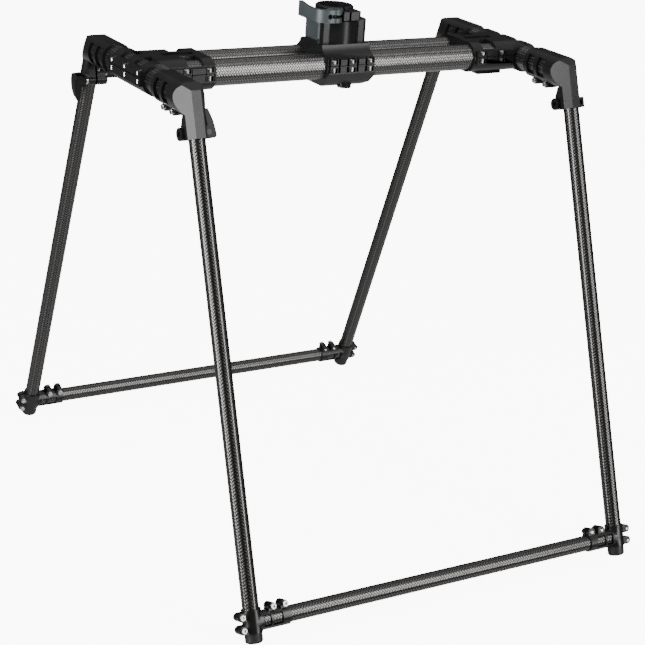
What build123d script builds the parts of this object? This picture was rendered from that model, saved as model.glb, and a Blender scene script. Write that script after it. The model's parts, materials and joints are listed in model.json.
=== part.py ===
from build123d import *
import math
import os

os.makedirs("parts", exist_ok=True)

# A tube stand for a camera gimbal: twin booms with a quick-release receiver in the middle,
# a cross tube at each end, four cast elbows, and two splayed leg frames with a skid tube each.
# Millimetres, +Z up, +X along the booms, -Y to the front. The origin is on the floor, under the middle.

# Driving sizes: overall
boom_height = 448.8      # floor to the plane that holds the booms and the cross tubes
cross_x = 203.0          # middle to each cross tube
elbow_y = 105.0          # middle to the point where a leg's axis meets the cross tube's axis
leg_splay = 20.0         # degrees from upright, towards the front and the rear
boom_half_pitch = 18.5   # middle to each boom's axis

# Driving sizes: tubes
big_radius = 12.5        # booms and cross tubes
big_wall = 1.5
leg_radius = 7.5         # legs and skid tubes
leg_wall = 1.2
seat_gap = 0.1           # radial room between a tube and the casting or shell that holds it
boom_end_gap = 1.5       # between a boom's end and the cross tube
slide_gap = 0.08         # radial room between a leg and its socket, which it slides in

# Driving sizes: screws, all M3 socket heads
screw_radius = 1.5
head_radius = 2.75
head_height = 3.0
socket_radius = 1.35
hole_gap = 0.15
channel_gap = 0.55       # round a screw head in its channel

# Driving sizes: clamp shells
shell_wall = 2.5
split_height = 3.2       # the shells part this far above the tubes' axes, so the tubes slide in endways
split_gap = 0.3          # each shell stops this far from the split
head_floor = 1.5         # thickness of the upper flange under a screw head
nut_floor = 1.7          # thickness of the lower flange above a nut
nut_length = 4.2
nut_radius = 2.5
thread_gap = 0.05        # between a shank and its nut
flange_top = 8.8
flange_low = 4.8
nut_clear = 0.2          # between a nut and the tube beside it
flange_margin = 2.7      # screw axis to the flange's outer face
fin_wall = 0.8           # thin wall between a screw's pocket and the relief slot beside it
ledge_proud = 0.7        # lip along the top of each lower land
ledge_height = 0.8

# Driving sizes: end clamps
end_clamp_inner = 60.0   # how far each end clamp reaches along the booms from the cross tube
end_screw_mid = 40.6     # cross tube to the middle of the two screws beside each boom
end_screw_pitch = 22.9
end_land_half = 6.6      # half of the flat land between two pockets
side_screw_pitch = 28.0
side_land_half = 9.0
side_screw_half_width = 35.0

# Driving sizes: centre clamp
centre_half_width = 26.0
centre_screw_pitch = 20.0
centre_land_half = 3.5
saddle_top = 20.0        # above the booms' plane
saddle_half_depth = 20.5
plate_drop = 20.0        # underside plate below the booms' plane
plate_half_depth = 18.0
plate_half_width = 22.8

# Driving sizes: receiver
body_top = 42.0          # above the booms' plane
collar_top = 53.5
bore_radius = 14.5
bore_floor = 24.0
collar_wall = 4.0
bore_y = 5.0
ear_front = 25.5         # front faces of the two pinch ears
ear_gap = 2.0
left_ear_width = 6.0
right_ear_width = 12.0
sink_depth = 3.3         # the pinch bolt's head is sunk in the right ear
button_size = (25.0, 19.0)
button_thick = 5.0
button_proud = 0.6
button_travel = 3.0
button_gap = 0.3

# Driving sizes: receiver cam lever
cam_mid_z = 48.0
cam_half_height = 6.0
cam_radius = 7.2
cam_throw = 0.4
cam_pin = (-15.0, -20.5)
cam_pin_radius = 2.5
pin_gap = 0.06
lever_bar = 7.5          # thickness beside the pin
lever_thick = 3.8        # thickness of the grip
lever_corner = 12.0
lever_side_x = -31.3
lever_back_y = 16.0
lever_flare = 2.2        # the grip's tip rises this much

# Driving sizes: elbows
sleeve_wall = 2.9        # outside the cross tube's radius
roof_wall = 1.4          # above the cross tube
sleeve_length = 52.0     # from the leg's axis point to the sleeve's inner end
tube_stop = 8.0          # the cross tube stops this far from the leg's axis point
lug_radius = 4.0
lug_half_width = 6.0
lug_places = (24.0, 41.0)
window_places = ((19.5, 30.5), (35.5, 46.5))
window_top = 9.5
window_bottom = -9.0
socket_depth = 34.5      # leg's axis point to the socket's mouth
socket_top = 7.5
nose_front = 9.0         # front face of the casting, from the leg's axis
nose_half_width = 4.6
facet_angle = 35.0       # of the two slanted flanks to the fore-and-aft direction
socket_wall = 2.1        # outside the leg's radius
pinch_slit = 2.0
ear_half_width = 7.6
ear_left = 11.3          # the ear on the bolt head's side reaches further
ear_radius = 5.9
bolt_head_radius = 2.6
bolt_head_height = 2.8
pinch_depth = 28.5       # pinch bolt, down the leg from its axis point
pinch_out = 3.5          # pinch bolt's axis, behind the leg's surface

# Driving sizes: leg cam levers
washer_thick = 2.2
washer_radius = 5.0
leg_cam_radius = 5.6
leg_cam_throw = 0.4
leg_pin_radius = 2.5
leg_lever_half = 5.0
leg_bolt_radius = 2.0

# Driving sizes: feet
foot_wall = 1.4          # outside the leg's radius
foot_up = 12.0
foot_down = 8.8
skid_sleeve = 35.0
foot_lug_radius = 3.8
foot_lug_half = 5.0
foot_lug_out = 4.2        # axes of the leg's lugs, beyond the leg's surface
foot_lug_pitch = 11.6
foot_lug_raise = 0.8      # the middle of the two lugs on the leg, above the skid's axis
skid_lug_up = 3.3         # axes of the skid's lugs, above the skid's surface
skid_lug_places = (19.0, 31.0)
foot_windows = ((8.0, 15.4), (17.0, 27.2))
foot_window_half = 5.2
foot_slit = 1.6
cap_length = 9.4
cap_wall = 0.6           # outside the leg's radius
cap_fillet = 2.5
cap_floor = 2.6
cap_gap = 0.2            # between a cap and the foot above it
cap_flat = 0.6           # how far the flat on each rubber cap is cut into its round edge

splay = math.radians(leg_splay)
boom_end = cross_x - big_radius - boom_end_gap
shell_radius = big_radius + shell_wall
bore = big_radius + seat_gap
screw_off = big_radius + nut_radius + nut_clear
screw_y = boom_half_pitch + screw_off
side_screw_x = cross_x + screw_off
clamp_inner_x = cross_x - end_clamp_inner
sleeve_radius = big_radius + sleeve_wall
roof_height = big_radius + roof_wall
socket_radius_outer = leg_radius + socket_wall
pinch_off = leg_radius + pinch_out
foot_radius = leg_radius + foot_wall
cap_radius = leg_radius + cap_wall
# The cap's lowest point is cap_flat under the floor before the flat is cut there.
foot_end = (boom_height + cap_flat - cap_fillet - (cap_radius - cap_fillet) * math.sin(splay))
foot_end = foot_end / math.cos(splay) + cap_fillet
# Down the leg from its axis point to the skid tube's axis
skid_slant = foot_end - cap_length - cap_gap - foot_down

far_away = 1000.0

written = []


def rod(radius, start, end, axis):
    """Cylinder of this radius along axis X, Y or Z, from start to end on that axis."""
    solid = Cylinder(radius, end - start, align=(Align.CENTER, Align.CENTER, Align.MIN))
    turns = {"X": Rot(0, 90, 0), "Y": Rot(-90, 0, 0), "Z": Rot(0, 0, 0)}
    shift = {"X": Pos(start, 0, 0), "Y": Pos(0, start, 0), "Z": Pos(0, 0, start)}
    return shift[axis] * turns[axis] * solid


def block(x0, x1, y0, y1, z0, z1):
    """Box between two corners."""
    return Pos(x0, y0, z0) * Box(x1 - x0, y1 - y0, z1 - z0, align=Align.MIN)


def prism(points, start, end, axis):
    """Straight-sided outline pushed along X (points are y, z), Y (x, z) or Z (x, y)."""
    planes = {
        "X": Plane(origin=(start, 0, 0), x_dir=(0, 1, 0), z_dir=(1, 0, 0)),
        "Y": Plane(origin=(0, end, 0), x_dir=(1, 0, 0), z_dir=(0, -1, 0)),
        "Z": Plane(origin=(0, 0, start), x_dir=(1, 0, 0), z_dir=(0, 0, 1)),
    }
    face = make_face(Polyline(*points, close=True))
    return extrude(planes[axis] * face, amount=end - start)


def tube(radius, wall, start, end, axis):
    return rod(radius, start, end, axis) - rod(radius - wall, start - 1, end + 1, axis)


def write(name, shape):
    shape.label = name
    export_step(shape, f"parts/{name}.step")
    written.append(name)


def raised(shape):
    """From the booms' plane to the floor's frame."""
    return Pos(0, 0, boom_height) * shape


def cap_screw(length):
    """Socket head screw, standing on its seat at z = 0 with its shank down."""
    screw = rod(head_radius, 0, head_height, "Z") + rod(screw_radius, -length, 0, "Z")
    key = RegularPolygon(socket_radius, 6)
    screw -= extrude(Pos(0, 0, head_height - 1.5) * key, amount=3)
    return screw


# Booms, cross tubes and skid tubes

def make_tubes():
    for name, side in (("boom_tube_front", -1), ("boom_tube_rear", 1)):
        boom = Pos(0, side * boom_half_pitch, 0) * tube(big_radius, big_wall, -boom_end, boom_end, "X")
        write(name, raised(boom))
    reach = elbow_y - tube_stop
    for name, side in (("cross_tube_left", -1), ("cross_tube_right", 1)):
        cross = Pos(side * cross_x, 0, 0) * tube(big_radius, big_wall, -reach, reach, "Y")
        write(name, raised(cross))


# Screws beside the tubes of a clamp: places are (x, y, outward x, outward y)

seat_height = split_height + split_gap + head_floor
nut_top = split_height - split_gap - nut_floor
pocket_low = nut_top - nut_length - 0.4


def outward_block(x, y, out_x, out_y, near, far, low, high):
    """Block from the screw's axis out past the flange, between two offsets sideways."""
    reach = 8.0
    if out_x:
        ends = sorted((x, x + out_x * reach))
        return block(ends[0], ends[1], y + near, y + far, low, high)
    ends = sorted((y, y + out_y * reach))
    return block(x + near, x + far, ends[0], ends[1], low, high)


def screw_channels(shells, places, half_step):
    """Cuts the holes, the open pockets for heads and nuts, and a relief slot each side of a pocket."""
    pocket = head_radius + channel_gap
    above = shell_radius + 10
    for x, y, out_x, out_y in places:
        shells -= Pos(x, y, 0) * rod(screw_radius + hole_gap, pocket_low - 1, above, "Z")
        for low, high in ((seat_height, above), (pocket_low, nut_top)):
            shells -= Pos(x, y, 0) * rod(pocket, low, high, "Z")
            shells -= outward_block(x, y, out_x, out_y, -pocket, pocket, low, high)
        for side in (-1, 1):
            near, far = sorted((side * (pocket + fin_wall), side * half_step))
            shells -= outward_block(x, y, out_x, out_y, near, far, pocket_low, above)
    return shells


def land_ledges(places, land_half, pitch):
    """Lips along the top of the lower flange's lands, between neighbouring screws of a row."""
    high = split_height - split_gap
    low = high - ledge_height
    face = flange_margin + ledge_proud
    ledges = []
    for x, y, out_x, out_y in places:
        next_x, next_y = x + abs(out_y) * pitch, y + abs(out_x) * pitch
        has_next = any(abs(next_x - other[0]) < 1 and abs(next_y - other[1]) < 1 for other in places)
        if has_next:
            middle = pitch / 2
            if out_x:
                near, far = sorted((x, x + out_x * face))
                ledges.append(block(near, far, y + middle - land_half, y + middle + land_half, low, high))
            else:
                near, far = sorted((y, y + out_y * face))
                ledges.append(block(x + middle - land_half, x + middle + land_half, near, far, low, high))
    return ledges


def screw_group(places):
    length = seat_height - nut_top + nut_length + 0.2
    screw = Pos(0, 0, seat_height) * cap_screw(length)
    return Compound([Pos(x, y, 0) * screw for x, y, _, _ in places])


def nut_group(places):
    """Round nuts in the lower pockets."""
    nut = rod(nut_radius, nut_top - nut_length, nut_top, "Z")
    nut -= rod(screw_radius + thread_gap, -far_away, far_away, "Z")
    return Compound([Pos(x, y, 0) * nut for x, y, _, _ in places])


def halves(shells):
    upper = shells & block(-far_away, far_away, -far_away, far_away, split_height + split_gap, far_away)
    lower = shells & block(-far_away, far_away, -far_away, far_away, -far_away, split_height - split_gap)
    return upper, lower


# End clamps: one T-shaped pair of shells holds both booms and the cross tube

def end_clamp_places():
    places = []
    for side in (-1, 1):
        for step in (-0.5, 0.5):
            x = cross_x - end_screw_mid + step * end_screw_pitch
            places.append((x, side * screw_y, 0, side))
    for step in (-1, 0, 1):
        places.append((side_screw_x, step * side_screw_pitch, 1, 0))
    return places


def make_end_clamp():
    outer_y = screw_y + flange_margin
    outer_x = side_screw_x + flange_margin
    half = side_screw_half_width
    shells = block(clamp_inner_x, cross_x, -boom_half_pitch, boom_half_pitch, -shell_radius, shell_radius)
    for side in (-1, 1):
        barrel = rod(shell_radius, clamp_inner_x, cross_x, "X")
        shells += Pos(0, side * boom_half_pitch, 0) * barrel
        inner, outer = sorted((side * boom_half_pitch, side * outer_y))
        flange_end = cross_x - shell_radius + 1
        shells += block(clamp_inner_x + 2, flange_end, inner, outer, -flange_low, flange_top)
        pad = block(cross_x - 48, cross_x - 20, -5, 5, -shell_radius - 2.4, -shell_radius + 2)
        shells += Pos(0, side * boom_half_pitch, 0) * pad
    shells += Pos(cross_x, 0, 0) * rod(shell_radius, -half, half, "Y")
    shells += block(cross_x, outer_x, -half, half, -flange_low, flange_top)
    shells = shells - Pos(cross_x, 0, 0) * rod(bore, -2 * half, 2 * half, "Y")
    for side in (-1, 1):
        shells -= Pos(0, side * boom_half_pitch, 0) * rod(bore, clamp_inner_x - 5, cross_x, "X")
        # Window over each boom, on its outer shoulder
        near, far = sorted((side * (boom_half_pitch - 8), side * (boom_half_pitch + 11.5)))
        window_mid = cross_x - end_screw_mid
        shells -= block(window_mid - 8, window_mid + 8, near, far, 6, shell_radius + 5)
        # Window over the cross tube, between the side screws
        low, high = sorted((side * 6.5, side * 22.0))
        shells -= block(cross_x - 7, cross_x + 11, low, high, 7, shell_radius + 5)
    # Opening between the booms, through both shells
    gap = boom_half_pitch - big_radius
    shells -= block(clamp_inner_x + 8, boom_end - 6, -gap + 1.5, gap - 1.5, -40, 40)
    places = end_clamp_places()
    front_places = [place for place in places if place[3]]
    side_places = [place for place in places if place[2]]
    shells = screw_channels(shells, front_places, end_screw_pitch / 2 - end_land_half)
    shells = screw_channels(shells, side_places, side_screw_pitch / 2 - side_land_half)
    upper, lower = halves(shells)
    for ledge in land_ledges(front_places, end_land_half, end_screw_pitch):
        lower += ledge
    for ledge in land_ledges(side_places, side_land_half, side_screw_pitch):
        lower += ledge
    screws = screw_group(places)
    nuts = nut_group(places)
    for side, turn in (("right", 0), ("left", 180)):
        write(f"end_clamp_upper_{side}", raised(Rot(0, 0, turn) * upper))
        write(f"end_clamp_lower_{side}", raised(Rot(0, 0, turn) * lower))
        write(f"end_clamp_screws_{side}", raised(Rot(0, 0, turn) * screws))
        write(f"end_clamp_nuts_{side}", raised(Rot(0, 0, turn) * nuts))


# Centre clamp: saddle above, faceted half with a small plate below

def centre_places():
    places = []
    for side in (-1, 1):
        for step in (-1, 0, 1):
            places.append((step * centre_screw_pitch, side * screw_y, 0, side))
    return places


def make_centre_clamp():
    outer_y = screw_y + flange_margin
    cove_foot = (screw_y + 1.0, flange_top + 0.5)
    cove_mid = (boom_half_pitch + 6.6, shell_radius - 2.0)
    with BuildSketch(Plane.YZ) as saddle:
        with BuildLine():
            Polyline((-cove_foot[0], cove_foot[1]), (-outer_y, flange_top), (-outer_y, 0),
                     (outer_y, 0), (outer_y, flange_top), cove_foot)
            ThreePointArc(cove_foot, cove_mid, (saddle_half_depth, saddle_top))
            Line((saddle_half_depth, saddle_top), (-saddle_half_depth, saddle_top))
            ThreePointArc((-saddle_half_depth, saddle_top), (-cove_mid[0], cove_mid[1]),
                          (-cove_foot[0], cove_foot[1]))
        make_face()
    upper = extrude(saddle.sketch, amount=centre_half_width, both=True)
    knee = (outer_y - 8, -shell_radius - 0.5)
    under = [(-outer_y, 0), (-outer_y, -flange_low), (-knee[0], knee[1]),
             (-plate_half_depth, -plate_drop), (plate_half_depth, -plate_drop), knee,
             (outer_y, -flange_low), (outer_y, 0)]
    lower = prism(under, -centre_half_width, centre_half_width, "X")
    for side in (-1, 1):
        # The plate's ends are chamfered up to the flange
        ends = [(side * plate_half_width, -plate_drop - 1), (side * plate_half_width, -plate_drop),
                (side * centre_half_width, -plate_drop / 2),
                (side * (centre_half_width + 5), -plate_drop / 2),
                (side * (centre_half_width + 5), -plate_drop - 1)]
        lower -= prism(ends, -outer_y - 1, outer_y + 1, "Y")
        # Grooved boss at the front and at the rear
        boss = Pos(0, side * (plate_half_depth + 4.5), 0) * rod(6.8, -plate_drop - 1, -flange_top, "Z")
        for groove in range(9):
            angle = math.radians(180 * groove / 8 + (180 if side < 0 else 0))
            x = 6.8 * math.cos(angle)
            y = side * (plate_half_depth + 4.5) + 6.8 * math.sin(angle)
            boss -= Pos(x, y, 0) * rod(0.7, -plate_drop - 2, -flange_top + 1, "Z")
        lower += boss & block(-9, 9, -outer_y, outer_y, -plate_drop - 1, -flange_top - 0.5)
    shells = upper + lower
    gap = boom_half_pitch - big_radius
    shells -= block(-18, 18, -gap + 1.8, gap - 1.8, -12, 12)
    for side in (-1, 1):
        shells -= Pos(0, side * boom_half_pitch, 0) * rod(bore, -60, 60, "X")
    places = centre_places()
    shells = screw_channels(shells, places, centre_screw_pitch / 2 - centre_land_half)
    upper, lower = halves(shells)
    for ledge in land_ledges(places, centre_land_half + 1.0, centre_screw_pitch):
        lower += ledge
    write("centre_clamp_upper", raised(upper))
    write("centre_clamp_lower", raised(lower))
    write("centre_clamp_screws", raised(screw_group(places)))
    write("centre_clamp_nuts", raised(nut_group(places)))


# Receiver: body with a split collar, release button with its spring, pinch bolt and cam lever

def make_receiver():
    posts = block(-26, 27, -14.5, 16, saddle_top, body_top)
    posts = fillet(posts.edges().filter_by(Axis.Z), 5.0)
    barrel_y = 1.5
    body = posts + Pos(0.5, barrel_y, 0) * rod(22.0, saddle_top, body_top, "Z")
    creases = [edge for edge in body.edges().filter_by(Axis.Z) if abs(edge.center().X - 0.5) < 19]
    body = fillet(creases, 3.5)
    body = chamfer(body.faces().sort_by(Axis.Z)[-1].edges(), 0.8)
    collar_radius = bore_radius + collar_wall
    collar = Pos(0, bore_y, 0) * rod(collar_radius, body_top, collar_top, "Z")
    collar = chamfer(collar.edges().group_by(Axis.Z)[-1], 1.2)
    left = -ear_gap / 2 - left_ear_width
    right = ear_gap / 2 + right_ear_width
    ears = block(left, right, -ear_front, 0, body_top + 1.5, collar_top - 2)
    ears = fillet(ears.edges().filter_by(Axis.Z).group_by(Axis.Y)[0].sort_by(Axis.X)[-1:], 3.5)
    web = prism([(right, -ear_front + 4), (right - 2, 0), (right, 6), (left, 6), (left, -12)],
                body_top, collar_top - 2, "Z")
    body += collar + ears + web
    body -= Pos(0, bore_y, 0) * rod(bore_radius, bore_floor, collar_top + 1, "Z")
    body -= block(-ear_gap / 2, ear_gap / 2, -ear_front - 1, 0, body_top + 0.4, collar_top + 1)
    pin_x, pin_y = cam_pin
    body -= Pos(0, pin_y, cam_mid_z) * rod(screw_radius + hole_gap, left - 1, right + 1, "X")
    body -= Pos(0, pin_y, cam_mid_z) * rod(head_radius + 0.3, right - sink_depth, right + 5, "X")
    # Pocket for the release button, in the left face
    face_x = -26.0
    wide, tall = button_size
    mid_z = (saddle_top + body_top) / 2 + 1.0
    pocket_floor = face_x - button_proud + button_thick + button_travel + 0.4
    pocket = block(face_x - 5, pocket_floor, -wide / 2 - button_gap, wide / 2 + button_gap,
                   mid_z - tall / 2 - button_gap, mid_z + tall / 2 + button_gap)
    body -= fillet(pocket.edges().filter_by(Axis.X), 3)
    write("receiver_body", raised(body))

    outer = face_x - button_proud
    button = block(outer, outer + button_thick, -wide / 2, wide / 2, mid_z - tall / 2, mid_z + tall / 2)
    button = fillet(button.edges().filter_by(Axis.X), 3 - button_gap)
    button = fillet(button.faces().sort_by(Axis.X)[0].edges(), 0.8)
    spring_radius = 3.0
    well = button_travel + 0.4
    button -= Pos(0, 0, mid_z) * rod(spring_radius + 0.5, outer + button_thick - well, outer + 9, "X")
    write("release_button", raised(button))

    # The spring is drawn at its pressed length, so it stays clear of the button over the whole travel
    wire = 0.45
    pressed = button_travel + 0.4
    path = Helix(pitch=1.1, height=pressed - 2 * wire, radius=spring_radius - wire)
    coil = sweep(Plane(path @ 0, z_dir=path % 0) * Circle(wire), path=path)
    coil = Pos(pocket_floor - wire, 0, mid_z) * Rot(0, -90, 0) * coil
    write("release_spring", raised(coil))

    # Pinch bolt through both ears, into the barrel that the cam lever turns on
    seat = right - sink_depth
    bolt = Pos(0, pin_y, cam_mid_z) * rod(screw_radius, pin_x - 1, seat, "X")
    head = Pos(seat, pin_y, cam_mid_z) * rod(head_radius, 0, head_height, "X")
    key = RegularPolygon(socket_radius, 6)
    key = Pos(seat + head_height, pin_y, cam_mid_z) * Rot(0, 90, 0) * extrude(key, -1.5)
    bolt = bolt + head - key
    barrel = Pos(pin_x, pin_y, 0) * rod(cam_pin_radius, cam_mid_z - cam_half_height + 0.2,
                                        cam_mid_z + cam_half_height - 0.2, "Z")
    bolt -= barrel
    write("collar_pinch_bolt", raised(bolt))
    write("cam_barrel", raised(barrel))

    low, high = cam_mid_z - cam_half_height, cam_mid_z + cam_half_height
    head_disc = Pos(pin_x + cam_throw, pin_y, 0) * rod(cam_radius, low, high, "Z")
    outer_x = lever_side_x - lever_thick / 2
    inner_x = lever_side_x + lever_thick / 2
    front_y = pin_y - cam_radius + 1.0
    rear_y = front_y + lever_bar
    inner_corner = lever_corner - lever_bar + 3.0
    slant = math.sqrt(0.5)
    with BuildSketch(Plane(origin=(0, 0, low), x_dir=(1, 0, 0), z_dir=(0, 0, 1))) as plan:
        with BuildLine():
            Line((pin_x, front_y), (outer_x + lever_corner, front_y))
            ThreePointArc((outer_x + lever_corner, front_y),
                          (outer_x + lever_corner * (1 - slant), front_y + lever_corner * (1 - slant)),
                          (outer_x, front_y + lever_corner))
            Polyline((outer_x, front_y + lever_corner), (outer_x, lever_back_y), (inner_x, lever_back_y),
                     (inner_x, rear_y + inner_corner))
            ThreePointArc((inner_x, rear_y + inner_corner),
                          (inner_x + inner_corner * (1 - slant), rear_y + inner_corner * (1 - slant)),
                          (inner_x + inner_corner, rear_y))
            Polyline((inner_x + inner_corner, rear_y), (pin_x, rear_y), (pin_x, front_y))
        make_face()
    bent_bar = extrude(plan.sketch, amount=high - low)
    flare = block(outer_x, inner_x, 0, lever_back_y, high, high + lever_flare)
    above = high + 3 * lever_flare
    slope = prism([(0, high), (lever_back_y, high + lever_flare), (lever_back_y, above), (-1, above),
                   (-1, high)],
                  outer_x - 1, inner_x + 1, "X")
    lever = head_disc + bent_bar + (flare - slope)
    lever = lever - Pos(pin_x, pin_y, 0) * rod(cam_pin_radius + pin_gap, low - 1, high + 1, "Z")
    # Slot between the prongs, open towards the ears and towards the front as the lever swings
    half_slot = screw_radius + 0.25
    reach = cam_radius + 3
    lever -= block(pin_x - 5, pin_x + reach, pin_y - reach, pin_y + 5,
                   cam_mid_z - half_slot, cam_mid_z + half_slot)
    lever -= Pos(pin_x - 7.5, 0, cam_mid_z) * rod(2.4, front_y - 1, pin_y + 8, "Y")
    lever -= block(pin_x - 7.0, pin_x + 1.5, pin_y - 4.4, pin_y - 3.4, high - 0.6, high + 1)
    write("receiver_cam_lever", raised(lever))


# Elbow: sleeve on the cross tube, slanted nose, and a split socket for the leg.
# Local frame: the leg's axis point, sleeve towards +Y, leg down towards -Y.

bolt_seat = -ear_left + bolt_head_height - 0.4
lug_z = -(big_radius + seat_gap + 2.0 + screw_radius)


def down_leg(shape):
    """From the leg's own upright frame to the splayed leg."""
    return Rot(-leg_splay, 0, 0) * shape


def make_elbow_shape():
    far = 60.0
    sleeve = rod(sleeve_radius, -far / 2, sleeve_length, "Y")
    sleeve &= block(-far, far, -far, far, -far, roof_height)
    for place in lug_places:
        lug = Pos(0, place, lug_z) * rod(lug_radius, -lug_half_width, lug_half_width, "X")
        fill = block(-lug_half_width, lug_half_width, place - lug_radius, place + lug_radius, lug_z, -10)
        sleeve += lug + fill
    socket = rod(socket_radius_outer, -socket_depth, 0, "Z")
    shoulder = socket_radius_outer
    slant = math.tan(math.radians(90 - facet_angle))
    flank_y = -nose_front + (shoulder - nose_half_width) * slant
    nose = [(-nose_half_width, -nose_front), (nose_half_width, -nose_front), (shoulder, flank_y),
            (shoulder, 2), (-shoulder, 2), (-shoulder, flank_y)]
    socket += prism(nose, -socket_depth, 8, "Z")
    ear = Pos(0, pinch_off, -pinch_depth) * rod(ear_radius, -ear_left, ear_half_width, "X")
    rib = [(2, -socket_depth), (pinch_off, -pinch_depth - ear_radius + 0.1),
           (pinch_off + ear_radius - 0.4, -pinch_depth + 1.5), (8.5, -13), (2, -10)]
    socket += ear + prism(rib, -ear_half_width, ear_half_width, "X")
    casting = sleeve + down_leg(socket)
    # Two slanted flanks and the narrow front face, all parallel to the leg
    t = far
    spread = t / slant
    keep = [(-nose_half_width, -nose_front), (nose_half_width, -nose_front),
            (nose_half_width + spread, -nose_front + t), (nose_half_width + spread, 2 * far),
            (-nose_half_width - spread, 2 * far), (-nose_half_width - spread, -nose_front + t)]
    casting &= down_leg(prism(keep, -2 * far, 2 * far, "Z"))
    # Bevel from the roof down to the front face
    bevel = [(7.0, roof_height), (-5.6, 9.5), (-18.2, 5.1), (-40, 5), (-40, 40), (7.0, 40)]
    casting -= prism(bevel, -far, far, "X")
    # Bores for the cross tube and the leg
    casting -= rod(bore, tube_stop - 0.5, sleeve_length + 1, "Y")
    leg_bore = leg_radius + slide_gap
    casting -= down_leg(rod(leg_bore, -socket_depth - 1, -socket_top, "Z"))
    # Windows through the sleeve's sides, which leave three hoops
    for start, end in window_places:
        casting -= block(-far, far, start, end, window_bottom, window_top)
    # Splits and holes of both pinches
    casting -= block(-0.8, 0.8, tube_stop + 4, sleeve_length + 1, -far, -big_radius + 4)
    for place in lug_places:
        casting -= Pos(0, place, lug_z) * rod(screw_radius + hole_gap, -far, far, "X")
        for near, out in ((-far, -lug_half_width), (lug_half_width, far)):
            casting -= Pos(0, place, lug_z) * rod(head_radius + 0.3, near, out, "X")
    half_slit = pinch_slit / 2
    casting -= down_leg(block(-half_slit, half_slit, 1, far, -socket_depth - 1, -12))
    casting -= down_leg(Pos(0, pinch_off, -pinch_depth) * rod(leg_bolt_radius + hole_gap, -far, far, "X"))
    sink = rod(bolt_head_radius + 0.3, -far, bolt_seat, "X")
    casting -= down_leg(Pos(0, pinch_off, -pinch_depth) * sink)
    return casting


def sleeve_screws():
    screw = Pos(-lug_half_width, 0, lug_z) * Rot(0, -90, 0) * cap_screw(2 * lug_half_width + 1.0)
    return [Pos(0, place, 0) * screw for place in lug_places]


# Leg clamp hardware, in the leg's upright frame with the pinch bolt along X

lever_pin_x = ear_half_width + washer_thick + leg_cam_radius + leg_cam_throw + 0.05


def at_pinch(shape):
    return down_leg(Pos(0, pinch_off, -pinch_depth) * shape)


def leg_bolt():
    bolt = rod(leg_bolt_radius, bolt_seat, lever_pin_x + 1.0, "X")
    bolt += rod(bolt_head_radius, bolt_seat - bolt_head_height, bolt_seat, "X")
    key = Pos(bolt_seat - bolt_head_height, 0, 0) * Rot(0, 90, 0) * extrude(RegularPolygon(1.7, 6), 1.6)
    return bolt - key


def leg_pin():
    reach = leg_lever_half - 0.2
    return Pos(lever_pin_x, 0, 0) * rod(leg_pin_radius, -reach, reach, "Y")


def leg_washer():
    washer = rod(washer_radius, ear_half_width, ear_half_width + washer_thick, "X")
    return washer - rod(leg_bolt_radius + hole_gap, 0, 20, "X")


def leg_lever():
    """Cam head on the pin at the bottom, handle up beside the socket and tapered to its tip."""
    half = leg_lever_half
    head = Pos(lever_pin_x - leg_cam_throw, 0, 0) * rod(leg_cam_radius, -half, half, "Y")
    inner = lever_pin_x - 1.0
    foot_z = -leg_cam_radius + leg_cam_throw
    with BuildSketch(Plane(origin=(0, half, 0), x_dir=(1, 0, 0), z_dir=(0, -1, 0))) as side:
        with BuildLine():
            Polyline((inner, foot_z), (inner + 6.6, foot_z), (inner + 7.8, foot_z + 1.6))
            ThreePointArc((inner + 7.8, foot_z + 1.6), (inner + 6.0, 9.0), (inner + 1.8, 20.6))
            Polyline((inner + 1.8, 20.6), (inner - 0.8, 20.6), (inner - 1.2, 18), (inner - 0.4, 6),
                     (inner, foot_z))
        make_face()
    handle = extrude(side.sketch, amount=2 * half)
    lever = head + handle
    lever -= Pos(lever_pin_x, 0, 0) * rod(leg_pin_radius + pin_gap, -half - 1, half + 1, "Y")
    # Slot for the bolt, open towards the ears, downwards and through the arc that the lever swings
    slot = leg_bolt_radius + 0.3
    lever -= block(lever_pin_x - 12, lever_pin_x + 3.6, -slot, slot, -12, 3.0)
    return lever


# Foot: T fitting in the leg's upright frame, skid towards +X, lugs towards -X and up, heads towards -Y

def foot_lug_places():
    out = leg_radius + foot_lug_out
    up = leg_radius + skid_lug_up
    places = [(-out, foot_lug_raise + step * foot_lug_pitch / 2) for step in (-1, 1)]
    return places + [(x, up) for x in skid_lug_places]


def make_foot_shape():
    foot = rod(foot_radius, -foot_down, foot_up, "Z") + rod(foot_radius, 0, skid_sleeve, "X")
    for x, z in foot_lug_places():
        lug = Pos(x, 0, z) * rod(foot_lug_radius, -foot_lug_half, foot_lug_half, "Y")
        if x < 0:
            fill = block(x, -4, -foot_lug_half, foot_lug_half, z - foot_lug_radius, z + foot_lug_radius)
        else:
            fill = block(x - foot_lug_radius, x + foot_lug_radius, -foot_lug_half, foot_lug_half, 4, z)
        foot += lug + fill
    foot -= rod(leg_radius + seat_gap, -foot_down - 1, foot_up + 1, "Z")
    foot -= rod(leg_radius + seat_gap, leg_radius + 1.2, skid_sleeve + 1, "X")
    half_slit = foot_slit / 2
    foot -= block(-30, 0, -half_slit, half_slit, -foot_down - 1, foot_up + 1)
    foot -= block(leg_radius + 4, skid_sleeve + 1, -half_slit, half_slit, 0, 30)
    for x, z in foot_lug_places():
        foot -= Pos(x, 0, z) * rod(screw_radius + hole_gap, -20, 20, "Y")
    # Windows in the front and the back of the skid sleeve, which leave hoops
    for near, far in foot_windows:
        window = block(near, far, -30, 30, -foot_window_half, foot_window_half)
        foot -= window - rod(leg_radius - 1, 0, 60, "X")
    return foot


def foot_screw_set():
    screw = Pos(0, -foot_lug_half, 0) * Rot(90, 0, 0) * cap_screw(2 * foot_lug_half + 1.0)
    return [Pos(x, 0, z) * screw for x, z in foot_lug_places()]


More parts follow.
